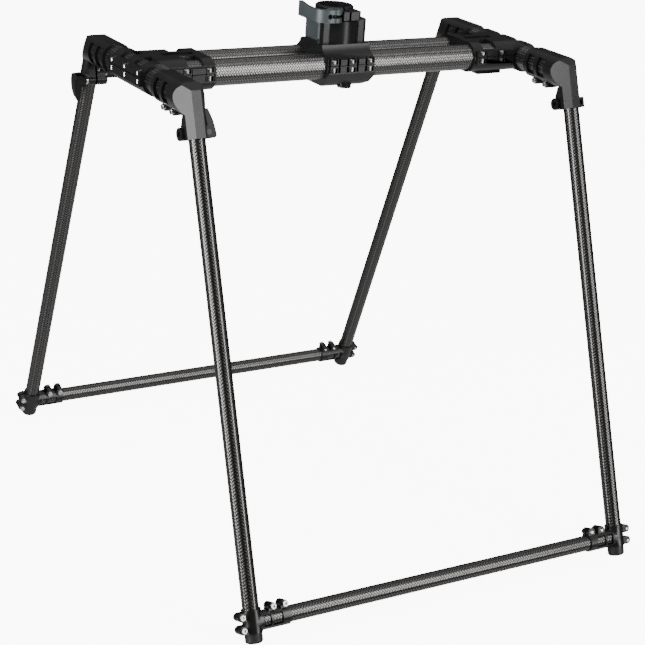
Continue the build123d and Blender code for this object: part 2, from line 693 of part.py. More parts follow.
def make_cap_shape():
    """Rubber cap over the leg's lower end, before its flat is cut at the floor."""
    top = -foot_down - cap_gap
    cap = rod(cap_radius, top - cap_length, top, "Z")
    cap = fillet(cap.edges().group_by(Axis.Z)[0], cap_fillet)
    return cap - rod(leg_radius, top - cap_length + cap_floor, top + 1, "Z")


# Each cam lever can be turned about its bolt: up the leg, down the leg, or back under the sleeve
lever_turns = {"front_left": 0, "front_right": -90, "rear_left": 180, "rear_right": 0}


def make_sides():
    elbow = make_elbow_shape()
    foot = make_foot_shape()
    cap = make_cap_shape()
    floor = block(-400, 400, -400, 400, -50, 0)
    leg_low = foot_end - cap_floor
    leg = rod(leg_radius, -leg_low, -socket_top - 0.3, "Z") - rod(leg_radius - leg_wall, -leg_low - 1, 0, "Z")
    bolts, pins, washers, sleeve_set = [], [], [], []
    foot_screws = {"front": [], "rear": []}
    # The rear half is the front half turned half round, so front left becomes rear right
    names = {("left", 0): "front_left", ("right", 0): "front_right",
             ("left", 180): "rear_right", ("right", 180): "rear_left"}
    for (side, turn), name in names.items():
        sign = -1 if side == "left" else 1
        corner = Rot(0, 0, turn) * Pos(sign * cross_x, -elbow_y, boom_height)
        write(f"elbow_{name}", corner * elbow)
        sleeve_set += [corner * screw for screw in sleeve_screws()]
        write(f"leg_{name}", corner * down_leg(leg))
        flip = Rot(lever_turns[name], 0, 0)
        bolts.append(corner * at_pinch(leg_bolt() - flip * leg_pin()))
        pins.append(corner * at_pinch(flip * leg_pin()))
        washers.append(corner * at_pinch(leg_washer()))
        write(f"leg_lever_{name}", corner * at_pinch(flip * leg_lever()))
        inward = Rot(0, 0, 0) if side == "left" else Rot(0, 0, 180)
        ankle = corner * Rot(-leg_splay, 0, 0) * Pos(0, 0, -skid_slant) * inward
        write(f"foot_{name}", ankle * foot)
        write(f"foot_cap_{name}", (ankle * cap) - floor)
        end = "front" if turn == 0 else "rear"
        foot_screws[end] += [ankle * screw for screw in foot_screw_set()]
    write("elbow_screws", Compound(sleeve_set))
    write("leg_clamp_bolts", Compound(bolts))
    write("leg_clamp_pins", Compound(pins))
    write("leg_clamp_washers", Compound(washers))
    skid_half = cross_x - leg_radius - 1.6
    for end, turn in (("front", 0), ("rear", 180)):
        write(f"foot_screws_{end}", Compound(foot_screws[end]))
        pivot = Rot(0, 0, turn) * Pos(0, -elbow_y, boom_height)
        line = pivot * Rot(-leg_splay, 0, 0) * Pos(0, 0, -skid_slant)
        write(f"skid_tube_{end}", line * tube(leg_radius, leg_wall, -skid_half, skid_half, "X"))


make_tubes()
make_end_clamp()
make_centre_clamp()
make_receiver()
make_sides()
print(len(written), "nodes")
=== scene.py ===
# %% [markdown]
# # A tube stand for a camera gimbal
#
# The stand is two carbon booms with a quick-release receiver in the middle, a cross tube at each
# end, four castings, four splayed legs and two skid tubes. The solid model is loaded as a fixed
# frame. Each cell below gives one kind of piece its looks: the woven tubes, the screws, the machined
# and moulded parts, and at the end the floor, the light and the camera.

# %% Load the frame
import json
import math

import bmesh
import bpy
import numpy as np
from mathutils import Matrix, Vector


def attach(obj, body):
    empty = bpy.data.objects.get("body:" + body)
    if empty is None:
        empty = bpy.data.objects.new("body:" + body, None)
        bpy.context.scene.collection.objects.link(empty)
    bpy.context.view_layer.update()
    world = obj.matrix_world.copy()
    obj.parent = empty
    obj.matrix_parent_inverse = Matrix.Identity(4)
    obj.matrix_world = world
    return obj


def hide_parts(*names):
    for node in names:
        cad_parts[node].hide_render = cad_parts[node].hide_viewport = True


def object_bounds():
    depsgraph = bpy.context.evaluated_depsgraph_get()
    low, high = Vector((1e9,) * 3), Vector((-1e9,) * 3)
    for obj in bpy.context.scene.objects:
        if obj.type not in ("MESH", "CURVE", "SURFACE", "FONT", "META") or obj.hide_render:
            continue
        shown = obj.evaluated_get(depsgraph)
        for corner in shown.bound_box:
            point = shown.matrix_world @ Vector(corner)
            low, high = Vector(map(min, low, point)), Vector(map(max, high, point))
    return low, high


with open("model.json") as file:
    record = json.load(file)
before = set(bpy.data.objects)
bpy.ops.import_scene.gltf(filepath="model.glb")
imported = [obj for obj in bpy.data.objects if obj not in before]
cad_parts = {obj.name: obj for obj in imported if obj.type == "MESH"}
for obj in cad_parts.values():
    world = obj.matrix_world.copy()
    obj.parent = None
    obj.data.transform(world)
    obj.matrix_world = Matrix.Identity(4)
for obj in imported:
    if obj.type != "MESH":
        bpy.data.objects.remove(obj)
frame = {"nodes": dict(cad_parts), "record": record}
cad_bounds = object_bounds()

nodes = frame["nodes"]
body_of_node = {node: body for body, members in frame["record"]["behaviour"]["bodies"].items()
                for node in members}

# %% [markdown]
# ## Small helpers for node trees
#
# Materials and Geometry Nodes are both trees of nodes. One helper that adds a node, sets its
# properties and fills or links its inputs keeps the cells below short. An input may be a number, a
# vector or another node's output.

# %% A helper that adds a node
def add(tree, kind, inputs=None, **properties):
    """Adds a node of this kind. inputs maps a socket's name or number to a value or to an output."""
    made = tree.nodes.new(kind)
    for name, value in properties.items():
        setattr(made, name, value)
    for key, value in (inputs or {}).items():
        socket = made.inputs[key]
        if isinstance(value, bpy.types.NodeSocket):
            tree.links.new(value, socket)
        else:
            socket.default_value = value
    return made


def maths(tree, operation, *values, kind="ShaderNodeMath"):
    """Adds a Math node, or a Vector Math node, and returns its first output."""
    return add(tree, kind, dict(enumerate(values)), operation=operation).outputs[0]


# %% [markdown]
# ## Where the pieces are
#
# Every place comes from the solid model. A node of several screws is one mesh of loose triangles, so
# a copy is merged and walked island by island. A turned piece, such as a tube or a screw, has its
# axis along the longest spread of its points, and a screw's head is at the end with the wider points.

# %% Read axes from the frame
def merged_copy(node):
    """The node's mesh with its doubled points merged, as a bmesh."""
    work = bmesh.new()
    work.from_mesh(nodes[node].data)
    bmesh.ops.remove_doubles(work, verts=work.verts, dist=1e-6)
    return work


def islands(node):
    """Lists the points of each separate solid in a node."""
    work = merged_copy(node)
    # A dict keeps the mesh's own order, so that every run gives the same lists
    unseen = dict.fromkeys(work.verts)
    found = []
    while unseen:
        front = [unseen.popitem()[0]]
        points = []
        while front:
            vert = front.pop()
            points.append(vert.co.copy())
            for edge in vert.link_edges:
                other = edge.other_vert(vert)
                if other in unseen:
                    del unseen[other]
                    front.append(other)
        found.append(np.array(points))
    work.free()
    found.sort(key=lambda points: tuple(points.mean(0).round(4)))
    return found


def turned_axis(points):
    """Start, end and radius of a turned piece. The start is its wider end, or else the lower end."""
    low, high = points.min(0), points.max(0)
    middle = (low + high) / 2
    spread = np.linalg.svd(points - points.mean(0), full_matrices=False)
    along = spread[2][0]
    if along[np.abs(along).argmax()] < 0:
        along = -along
    reach = (points - middle) @ along
    off = np.linalg.norm(points - middle - np.outer(reach, along), axis=1)
    quarter = (reach.max() - reach.min()) / 4
    if off[reach < reach.min() + quarter].max() < off[reach > reach.max() - quarter].max() - 1e-5:
        along, reach = -along, -reach
    centre = middle - along * (middle @ along)
    ends = [Vector(centre + along * (middle @ along + reach.min())),
            Vector(centre + along * (middle @ along + reach.max()))]
    return ends[0], ends[1], float(off.max())


for name in ("boom_tube_front", "leg_front_left"):
    start, end, radius = turned_axis(islands(name)[0])
    print(name, "length", round((end - start).length, 4), "radius", round(radius, 5))

# %% [markdown]
# ## The clear-coated carbon finish
#
# The tubes are rolled from a 2 x 2 twill of carbon, laid at 45 degrees to the tube. Each tow is about
# 2 mm wide. It passes over two tows and under two, so that rows of slanted strokes run along the
# tube. One way to show this is a picture of cloth, but a rule is sharper and never repeats badly. The
# tube's mesh carries an attribute called weave, which counts cells along and around the tube, and the
# material works out from it which tow is on top, how round it is, and which way its fibres run. The
# colour has painted shade in it, darker towards the edges of each tow and where it dives, and one
# family of tows is painted darker than the other.

# %% Carbon twill material
def new_material(name):
    material = bpy.data.materials.new(name)
    material.use_nodes = True
    tree = material.node_tree
    tree.nodes.clear()
    return material, tree


def twill_carbon(name, pale):
    """The woven finish, with tows as bright as this grey where they lie on top, and painted shade in the
    colour towards their edges and where they dive.
    """
    material, tree = new_material(name)
    weave = add(tree, "ShaderNodeAttribute", attribute_name="weave").outputs["Vector"]
    parts = add(tree, "ShaderNodeSeparateXYZ", {0: weave})
    along, around = parts.outputs[0], parts.outputs[1]
    u = maths(tree, "ADD", along, around)
    v = maths(tree, "SUBTRACT", along, around)
    cell_u, cell_v = maths(tree, "FLOOR", u), maths(tree, "FLOOR", v)
    step = maths(tree, "FLOORED_MODULO", maths(tree, "SUBTRACT", cell_u, cell_v), 4.0)
    over = maths(tree, "LESS_THAN", step, 1.5)
    across_u = maths(tree, "FRACT", u)
    across_v = maths(tree, "FRACT", v)
    # Position across the tow on top: v where the first family is on top, otherwise u
    across = add(tree, "ShaderNodeMix", {0: over, 2: across_u, 3: across_v}).outputs[0]
    half = maths(tree, "MULTIPLY", maths(tree, "SUBTRACT", across, 0.5), 2.0)
    crown = maths(tree, "SUBTRACT", 1.0, maths(tree, "MULTIPLY", half, half))
    # Position along the stretch where that tow is on top, which is two cells long and dives at both ends
    past_v = maths(tree, "FLOORED_MODULO", maths(tree, "SUBTRACT", u, cell_v), 4.0)
    past_u = maths(tree, "FLOORED_MODULO", maths(tree, "SUBTRACT", cell_u, v), 4.0)
    run_v = maths(tree, "SUBTRACT", past_v, 1.0)
    run_u = maths(tree, "SUBTRACT", past_u, 2.0)
    run = add(tree, "ShaderNodeMix", {0: over, 2: run_u, 3: run_v}).outputs[0]
    dive = maths(tree, "SUBTRACT", 1.0, maths(tree, "MULTIPLY", run, run))
    # Fibres: fine streaks along the tow on top
    streak_u = maths(tree, "MULTIPLY", add(tree, "ShaderNodeMix", {0: over, 2: u, 3: v}).outputs[0], 9.0)
    streak_v = maths(tree, "MULTIPLY", add(tree, "ShaderNodeMix", {0: over, 2: v, 3: u}).outputs[0], 0.6)
    lines = add(tree, "ShaderNodeCombineXYZ", {0: streak_u, 1: streak_v, 2: over})
    fibres = add(tree, "ShaderNodeTexNoise", {"Vector": lines.outputs[0], "Scale": 1.0, "Detail": 2.0})
    # Painted shade: the colour darkens towards the edges of each tow and where it dives
    rise = maths(tree, "MULTIPLY", crown, dive)
    painted_crease_shade = add(tree, "ShaderNodeMapRange", {0: rise, 1: 0.05, 2: 0.6, 3: 0.0, 4: 1.0})
    # Painted shade: one family of tows is painted darker than the other, in place of the way light falls on
    # its fibres
    family = add(tree, "ShaderNodeMix", {0: over, 2: 0.8, 3: 1.0}).outputs[0]
    painted_shade_and_grain = maths(tree, "MULTIPLY", maths(tree, "MULTIPLY", painted_crease_shade.outputs[0], family),
                 maths(tree, "ADD", maths(tree, "MULTIPLY", fibres.outputs[0], 0.9), 0.35))
    # The dark colour is painted shade between the tows; the light colour is a tow on top
    crease_shade_colour, lit = (0.003, 0.003, 0.003, 1), (pale, 0.98 * pale, 0.95 * pale, 1)
    colour = add(tree, "ShaderNodeMix", {0: painted_shade_and_grain, 6: crease_shade_colour, 7: lit}, data_type="RGBA")
    fine = maths(tree, "MULTIPLY", fibres.outputs[0], 0.2)
    height = maths(tree, "ADD", maths(tree, "ADD", crown, dive), fine)
    bump = add(tree, "ShaderNodeBump", {"Height": height, "Strength": 0.8, "Distance": 0.00012})
    # Fibres spread the light across themselves, so the tangent is square to the tow on top
    way = add(tree, "ShaderNodeAttribute", attribute_name="tube_way").outputs["Vector"]
    normal = add(tree, "ShaderNodeNewGeometry").outputs["Normal"]
    ring = maths(tree, "CROSS_PRODUCT", way, normal, kind="ShaderNodeVectorMath")
    lean = maths(tree, "SUBTRACT", 1.0, maths(tree, "MULTIPLY", over, 2.0))
    leant = add(tree, "ShaderNodeVectorMath", {0: ring, "Scale": lean}, operation="SCALE").outputs[0]
    tangent = maths(tree, "NORMALIZE", maths(tree, "ADD", way, leant, kind="ShaderNodeVectorMath"),
                    kind="ShaderNodeVectorMath")
    rough = add(tree, "ShaderNodeMapRange", {0: fibres.outputs[0], 1: 0.3, 2: 0.7, 3: 0.22, 4: 0.32})
    shader = add(tree, "ShaderNodeBsdfPrincipled", {
        "Base Color": colour.outputs[2], "Metallic": 0.9, "Roughness": rough.outputs[0],
        "Anisotropic": 0.6, "Tangent": tangent,
        "Normal": bump.outputs[0], "Coat Weight": 0.15, "Coat Roughness": 0.1, "IOR": 1.5})
    add(tree, "ShaderNodeOutputMaterial", {0: shader.outputs[0]})
    return material


# The legs and skids get a darker copy of the booms' finish: painted shade that dims their highlights
boom_carbon = twill_carbon("boom_carbon", 0.30)
leg_carbon = twill_carbon("leg_carbon", 0.18)
print("carbon twill nodes", len(boom_carbon.node_tree.nodes))

# %% [markdown]
# ## The metal, plastic and rubber finishes
#
# The clamps, castings and levers are aluminium, blasted and then anodised, which leaves a satin skin
# with a very fine grain. The feet are moulded plastic with a slightly coarser grain. All of them are
# one recipe with other numbers: noise in object space for a little mottling, and a finer noise for
# the grain in the bump.

# %% A recipe for grained finishes
def grained(name, colour, light, rough, metallic, grain, bump_size, shine=0.5):
    """A solid finish that wanders between two colours, with grain of this size in metres."""
    material, tree = new_material(name)
    place = add(tree, "ShaderNodeTexCoord").outputs["Object"]
    cloud = add(tree, "ShaderNodeTexNoise", {"Vector": place, "Scale": 60.0, "Detail": 3.0})
    fine = add(tree, "ShaderNodeTexNoise", {"Vector": place, "Scale": 1.0 / grain, "Detail": 2.0})
    mixed = add(tree, "ShaderNodeMix", {0: cloud.outputs[0], 6: (*colour, 1), 7: (*light, 1)},
                data_type="RGBA")
    spread = add(tree, "ShaderNodeMapRange", {0: cloud.outputs[0], 1: 0.3, 2: 0.7, 3: rough[0], 4: rough[1]})
    bump = add(tree, "ShaderNodeBump", {"Height": fine.outputs[0], "Strength": 0.35, "Distance": bump_size})
    shader = add(tree, "ShaderNodeBsdfPrincipled", {
        "Base Color": mixed.outputs[2], "Metallic": metallic, "Roughness": spread.outputs[0],
        "Normal": bump.outputs[0], "Specular IOR Level": shine})
    add(tree, "ShaderNodeOutputMaterial", {0: shader.outputs[0]})
    return material


black_anodised = grained("black_anodised", (0.012, 0.012, 0.013), (0.020, 0.020, 0.021), (0.25, 0.32),
                         0.2, 0.0004, 0.00002, shine=0.35)
slate_anodised = grained("slate_anodised", (0.10, 0.118, 0.124), (0.13, 0.15, 0.156), (0.36, 0.46),
                         0.55, 0.0004, 0.00002)
moulded_black = grained("moulded_black", (0.005, 0.005, 0.0055), (0.010, 0.010, 0.010), (0.26, 0.36),
                        0.0, 0.0006, 0.00003)
cap_rubber = grained("cap_rubber", (0.008, 0.008, 0.008), (0.015, 0.015, 0.015), (0.45, 0.6),
                     0.0, 0.0008, 0.00004)
lever_black = grained("lever_black", (0.010, 0.010, 0.011), (0.016, 0.016, 0.017), (0.34, 0.42),
                      0.1, 0.0004, 0.00002, shine=0.2)
black_steel = grained("black_steel", (0.020, 0.020, 0.021), (0.035, 0.034, 0.034), (0.28, 0.40),
                      0.8, 0.0005, 0.00001)
stainless = grained("stainless", (0.66, 0.65, 0.62), (0.76, 0.75, 0.73), (0.26, 0.36),
                    1.0, 0.0005, 0.00001)
print("finishes", sorted(m.name for m in bpy.data.materials))

# %% [markdown]
# ## Tubes by Geometry Nodes
#
# Every tube is the same rule with other numbers, so one tree makes them all. A flat grid is rolled up
# into a strip of revolution between two radii and two places along the axis, and four strips make a
# wall: outside, far end, inside and near end. The weave attribute is stored on the face corners
# before the seam is merged, so the pattern meets itself all the way along. The number of cells round
# the tube is even, which is what lets the twill close.

# %% The rolled strip and the tube
def new_group(name, inputs):
    """An empty Geometry Nodes tree with these named inputs. Returns the tree and its two end nodes."""
    tree = bpy.data.node_groups.new(name, "GeometryNodeTree")
    for label, kind, value in inputs:
        socket = tree.interface.new_socket(name=label, in_out="INPUT", socket_type=kind)
        if value is not None:
            socket.default_value = value
    tree.interface.new_socket(name="Geometry", in_out="OUTPUT", socket_type="NodeSocketGeometry")
    return tree, tree.nodes.new("NodeGroupInput"), tree.nodes.new("NodeGroupOutput")


def rolled_strip_tree():
    tree, given, result = new_group("rolled_strip", [
        ("Radius Start", "NodeSocketFloat", 0.01), ("Radius End", "NodeSocketFloat", 0.01),
        ("Along Start", "NodeSocketFloat", 0.0), ("Along End", "NodeSocketFloat", 0.1),
        ("Steps Around", "NodeSocketInt", 64), ("Steps Along", "NodeSocketInt", 2),
        ("Cells Around", "NodeSocketFloat", 16.0), ("Cell Size", "NodeSocketFloat", 0.002)])
    columns = maths(tree, "ADD", given.outputs["Steps Around"], 1.0)
    rows = maths(tree, "ADD", given.outputs["Steps Along"], 1.0)
    grid = add(tree, "GeometryNodeMeshGrid", {
        "Size X": 1.0, "Size Y": 1.0, "Vertices X": columns, "Vertices Y": rows})
    spot = add(tree, "ShaderNodeSeparateXYZ", {0: tree.nodes.new("GeometryNodeInputPosition").outputs[0]})
    turn = maths(tree, "ADD", spot.outputs[0], 0.5)
    share = maths(tree, "ADD", spot.outputs[1], 0.5)
    along = add(tree, "ShaderNodeMapRange", {
        0: share, 3: given.outputs["Along Start"], 4: given.outputs["Along End"]})
    radius = add(tree, "ShaderNodeMapRange", {
        0: share, 3: given.outputs["Radius Start"], 4: given.outputs["Radius End"]})
    cells = add(tree, "ShaderNodeCombineXYZ", {
        0: maths(tree, "DIVIDE", along.outputs[0], given.outputs["Cell Size"]),
        1: maths(tree, "MULTIPLY", turn, given.outputs["Cells Around"])})
    stored = add(tree, "GeometryNodeStoreNamedAttribute", {"Geometry": grid.outputs["Mesh"], "Name": "weave"},
                 data_type="FLOAT_VECTOR", domain="CORNER")
    tree.links.new(cells.outputs[0], stored.inputs["Value"])
    angle = maths(tree, "MULTIPLY", turn, math.tau)
    place = add(tree, "ShaderNodeCombineXYZ", {
        0: along.outputs[0],
        1: maths(tree, "MULTIPLY", radius.outputs[0], maths(tree, "COSINE", angle)),
        2: maths(tree, "MULTIPLY", radius.outputs[0], maths(tree, "SINE", angle))})
    moved = add(tree, "GeometryNodeSetPosition", {
        "Geometry": stored.outputs[0], "Position": place.outputs[0]})
    tree.links.new(moved.outputs[0], result.inputs[0])
    return tree


def tube_tree(strip):
    tree, given, result = new_group("woven_tube", [
        ("Length", "NodeSocketFloat", 0.1), ("Radius", "NodeSocketFloat", 0.01),
        ("Wall", "NodeSocketFloat", 0.001), ("Steps Around", "NodeSocketInt", 96),
        ("Tow Width", "NodeSocketFloat", 0.002), ("Finish", "NodeSocketMaterial", None)])
    length, radius = given.outputs["Length"], given.outputs["Radius"]
    inner = maths(tree, "SUBTRACT", radius, given.outputs["Wall"])
    girth = maths(tree, "MULTIPLY", radius, math.tau)
    slant = maths(tree, "MULTIPLY", given.outputs["Tow Width"], 2.0 * math.sqrt(2.0))
    cells = maths(tree, "MULTIPLY", maths(tree, "ROUND", maths(tree, "DIVIDE", girth, slant)), 2.0)
    size = maths(tree, "DIVIDE", girth, cells)
    joined = tree.nodes.new("GeometryNodeJoinGeometry")
    # Outside, far end, inside and near end: start and end radius, start and end place, rows
    strips = ((radius, radius, 0.0, length, 24), (radius, inner, length, length, 1),
              (inner, inner, length, 0.0, 1), (inner, radius, 0.0, 0.0, 1))
    for first, last, low, high, rows in strips:
        wall = add(tree, "GeometryNodeGroup", node_tree=strip)
        for name, value in (("Radius Start", first), ("Radius End", last), ("Along Start", low),
                            ("Along End", high), ("Steps Around", given.outputs["Steps Around"]),
                            ("Steps Along", rows), ("Cells Around", cells), ("Cell Size", size)):
            if isinstance(value, bpy.types.NodeSocket):
                tree.links.new(value, wall.inputs[name])
            else:
                wall.inputs[name].default_value = value
        tree.links.new(wall.outputs[0], joined.inputs[0])
    whole = add(tree, "GeometryNodeRealizeInstances", {0: joined.outputs[0]})
    merged = add(tree, "GeometryNodeMergeByDistance", {"Geometry": whole.outputs[0], "Distance": 1e-6})
    painted = add(tree, "GeometryNodeSetMaterial", {
        "Geometry": merged.outputs[0], "Material": given.outputs["Finish"]})
    tree.links.new(painted.outputs[0], result.inputs[0])
    return tree


def run_tree(tree, name, values, source=None):
    """Runs a Geometry Nodes tree with these named values and returns its result as a plain mesh."""
    holder = bpy.data.objects.new(name + "_holder", source or bpy.data.meshes.new(name + "_start"))
    bpy.context.scene.collection.objects.link(holder)
    modifier = holder.modifiers.new("make", "NODES")
    modifier.node_group = tree
    for item in tree.interface.items_tree:
        if item.in_out == "INPUT" and item.name in values:
            modifier[item.identifier] = values[item.name]
    graph = bpy.context.evaluated_depsgraph_get()
    mesh = bpy.data.meshes.new_from_object(holder.evaluated_get(graph), depsgraph=graph)
    bpy.data.objects.remove(holder)
    mesh.name = name
    return mesh


def tidy_mesh(mesh, sharp=35.0):
    """Faces outwards, smooth shading, and sharp edges where two faces meet at more than this angle."""
    work = bmesh.new()
    work.from_mesh(mesh)
    bmesh.ops.recalc_face_normals(work, faces=work.faces)
    work.to_mesh(mesh)
    work.free()
    mesh.shade_smooth()
    mesh.set_sharp_from_angle(angle=math.radians(sharp))
    return mesh


def piece(name, mesh, node):
    """Makes the finished piece: it rides with its node's body and stands for the node."""
    made = bpy.data.objects.new(name, mesh)
    bpy.context.scene.collection.objects.link(made)
    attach(made, body_of_node[node])
    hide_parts(node)


strip_tree = rolled_strip_tree()
woven_tube = tube_tree(strip_tree)

# %% [markdown]
# ### Place the ten tubes
#
# The tree makes a tube along X from the origin. The two ends read from the frame give the turn and the
# shift, which go into the mesh itself so that the object stays at the origin.

# %% Make the tubes
tow_width = 0.002
boom_wall, leg_wall = 0.0015, 0.0012
boom_least_radius = 0.01
tube_nodes = sorted(name for name in nodes if "tube" in name or name.startswith("leg_front_")
                    or name.startswith("leg_rear_"))
for node in tube_nodes:
    start, end, radius = turned_axis(islands(node)[0])
    big = radius > boom_least_radius
    mesh = run_tree(woven_tube, node + "_woven", {
        "Length": (end - start).length, "Radius": radius, "Wall": boom_wall if big else leg_wall,
        "Steps Around": 128 if big else 96, "Tow Width": tow_width,
        "Finish": boom_carbon if big else leg_carbon})
    turn = (end - start).to_track_quat("X", "Z").to_matrix().to_4x4()
    mesh.transform(Matrix.Translation(start) @ turn)
    way = mesh.attributes.new("tube_way", "FLOAT_VECTOR", "POINT")
    way.data.foreach_set("vector", list((end - start).normalized()) * len(mesh.vertices))
    piece(node + "_woven", tidy_mesh(mesh), node)
print("tubes", len(tube_nodes))

# %% [markdown]
# ## Screws by Geometry Nodes
#
# All the small screws are socket heads, in groups that share one node. One screw is turned from a
# short outline, with a hexagon sunk in its head and rings on its shank for the thread. A tree then
# puts a copy on each point, turned to the direction that the point carries.

# %% One socket screw
def socket_screw(name, head_radius, head_height, shank_radius, length):
    """A screw standing on its seat at the origin, head up, as a mesh."""
    around = 24
    key = head_radius * 0.5
    depth = head_height * 0.5
    edge = head_radius * 0.12
    outline = [(key * 1.12, head_height), (head_radius - edge, head_height),
               (head_radius, head_height - edge), (head_radius, 0.0)]
    pitch, under_head = 0.0007, 0.0001
    turns = int(length / pitch)
    for ring in range(turns):
        outline.append((shank_radius, -ring * pitch - under_head))
        outline.append((shank_radius * 0.86, -(ring + 0.55) * pitch))
    outline.append((shank_radius * 0.8, -length))
    work = bmesh.new()
    rings = []
    turn = math.tau / around
    for radius, height in outline:
        rings.append([work.verts.new((radius * math.cos(turn * i), radius * math.sin(turn * i), height))
                      for i in range(around)])
    for upper, lower in zip(rings, rings[1:]):
        for i in range(around):
            j = (i + 1) % around
            work.faces.new((upper[i], lower[i], lower[j], upper[j]))
    work.faces.new(rings[-1])
    # The hexagon: each of its six corners takes a run of the inner ring
    rim, floor = [], []
    for corner in range(6):
        angle = math.tau * corner / 6
        x, y = key * math.cos(angle), key * math.sin(angle)
        rim.append(work.verts.new((x, y, head_height)))
        floor.append(work.verts.new((x, y, head_height - depth)))
    run = around // 6
    for corner in range(6):
        after = (corner + 1) % 6
        first = corner * run
        fan = [rings[0][(first + step) % around] for step in range(run + 1)]
        work.faces.new([rim[corner]] + fan + [rim[after]])
        work.faces.new((rim[corner], rim[after], floor[after], floor[corner]))
    work.faces.new(floor)
    bmesh.ops.recalc_face_normals(work, faces=work.faces)
    mesh = bpy.data.meshes.new(name)
    work.to_mesh(mesh)
    work.free()
    mesh.shade_smooth()
    mesh.set_sharp_from_angle(angle=math.radians(40))
    made = bpy.data.objects.new(name, mesh)
    bpy.context.scene.collection.objects.link(made)
    return made


def placing_tree():
    tree, given, result = new_group("screws_on_points", [
        ("Geometry", "NodeSocketGeometry", None), ("Screw", "NodeSocketObject", None),
        ("Finish", "NodeSocketMaterial", None)])
    shape = add(tree, "GeometryNodeObjectInfo", {"Object": given.outputs["Screw"]})
    way = add(tree, "GeometryNodeInputNamedAttribute", {"Name": "way"}, data_type="FLOAT_VECTOR")
    turn = add(tree, "FunctionNodeAlignRotationToVector", {"Vector": way.outputs[0]}, axis="Z")
    placed = add(tree, "GeometryNodeInstanceOnPoints", {
        "Points": given.outputs["Geometry"], "Instance": shape.outputs["Geometry"],
        "Rotation": turn.outputs[0]})
    real = add(tree, "GeometryNodeRealizeInstances", {0: placed.outputs[0]})
    painted = add(tree, "GeometryNodeSetMaterial", {
        "Geometry": real.outputs[0], "Material": given.outputs["Finish"]})
    tree.links.new(painted.outputs[0], result.inputs[0])
    return tree


screws_on_points = placing_tree()


def screw_group(node, head_height, head_radius, shank_radius):
    """Puts a detailed screw on the place of every screw in a node."""
    axes = [turned_axis(points) for points in islands(node)]
    length = (axes[0][1] - axes[0][0]).length - head_height
    screw = socket_screw(node + "_one", head_radius, head_height, shank_radius, length)
    dots = bpy.data.meshes.new(node + "_dots")
    ways = [(start - end).normalized() for start, end, _ in axes]
    dots.from_pydata([start - way * head_height for (start, _, _), way in zip(axes, ways)], [], [])
    way_data = dots.attributes.new("way", "FLOAT_VECTOR", "POINT")
    way_data.data.foreach_set("vector", [number for way in ways for number in way])
    mesh = run_tree(screws_on_points, node + "_turned", {"Screw": screw, "Finish": stainless}, dots)
    bpy.data.objects.remove(screw)
    piece(node + "_turned", mesh, node)
    print(node, "screws", len(axes), "length", round(length * 1000, 2), "mm")


# %% Place the screws
m3_head_radius, m3_head_height, m3_shank_radius = 0.00275, 0.003, 0.0015
for node in ("end_clamp_screws_left", "end_clamp_screws_right", "centre_clamp_screws", "elbow_screws",
             "foot_screws_front", "foot_screws_rear"):
    screw_group(node, m3_head_height, m3_head_radius, m3_shank_radius)

# %% [markdown]
# ## Machined and moulded parts
#
# The clamps, castings, feet and levers already have their true shape as solids. What a solid lacks is
# the small broken edge that every machined or moulded part has, and that catches the light. A copy of
# the solid is merged, its flat faces are joined up, and a Bevel modifier rounds the sharp edges. The
# modifier is applied, so the rounding is real geometry.
#
# Where two roundings run into each other the surface folds over itself, and two neighbouring faces
# point opposite ways. So each piece is tried with the widest rounding first, the folds are counted,
# and the first one with no more folds than the plain piece is kept.

# %% Soften the edges
widths = (0.0004, 0.0003, 0.0002, 0.00015, 0.0001, 0.00006)
clamped_width = 0.0002
speck = 1e-9


def folds(mesh):
    """Number of edges where two neighbouring triangles of some size face opposite ways."""
    work = bmesh.new()
    work.from_mesh(mesh)
    bmesh.ops.triangulate(work, faces=work.faces)
    count = 0
    for edge in work.edges:
        if len(edge.link_faces) == 2 and min(face.calc_area() for face in edge.link_faces) > speck:
            count += edge.link_faces[0].normal.dot(edge.link_faces[1].normal) < -0.7
    work.free()
    return count


def rounded(mesh, width, clamp):
    """A copy of the mesh with its sharp edges rounded, and its flat faces shaded flat."""
    holder = bpy.data.objects.new("holder", mesh)
    bpy.context.scene.collection.objects.link(holder)
    bevel = holder.modifiers.new("edges", "BEVEL")
    bevel.width = width
    bevel.segments = 2
    bevel.limit_method = "ANGLE"
    bevel.angle_limit = math.radians(32.0)
    bevel.use_clamp_overlap = clamp
    flatten = holder.modifiers.new("flat_faces", "WEIGHTED_NORMAL")
    flatten.mode = "FACE_AREA"
    flatten.weight = 80
    flatten.keep_sharp = True
    graph = bpy.context.evaluated_depsgraph_get()
    final = bpy.data.meshes.new_from_object(holder.evaluated_get(graph), depsgraph=graph)
    bpy.data.objects.remove(holder)
    return final


def softened(node, finish):
    """A copy of a solid with its sharp edges rounded, standing for the node."""
    work = merged_copy(node)
    bmesh.ops.dissolve_limit(work, angle_limit=math.radians(0.5), verts=work.verts, edges=work.edges)
    mesh = bpy.data.meshes.new(node + "_flat")
    work.to_mesh(mesh)
    work.free()
    mesh.shade_smooth()
    before = folds(mesh)
    for width in widths:
        final = rounded(mesh, width, False)
        if folds(final) <= before:
            break
    else:
        # None will do, so the modifier is left to narrow its own rounding where there is no room
        width = clamped_width
        final = rounded(mesh, width, True)
    final.name = node + "_edged"
    final.materials.clear()
    final.materials.append(finish)
    piece(node + "_edged", final, node)
    print(node, "faces", len(final.polygons), "rounding", round(width * 1000, 2), "mm", "folds", folds(final))


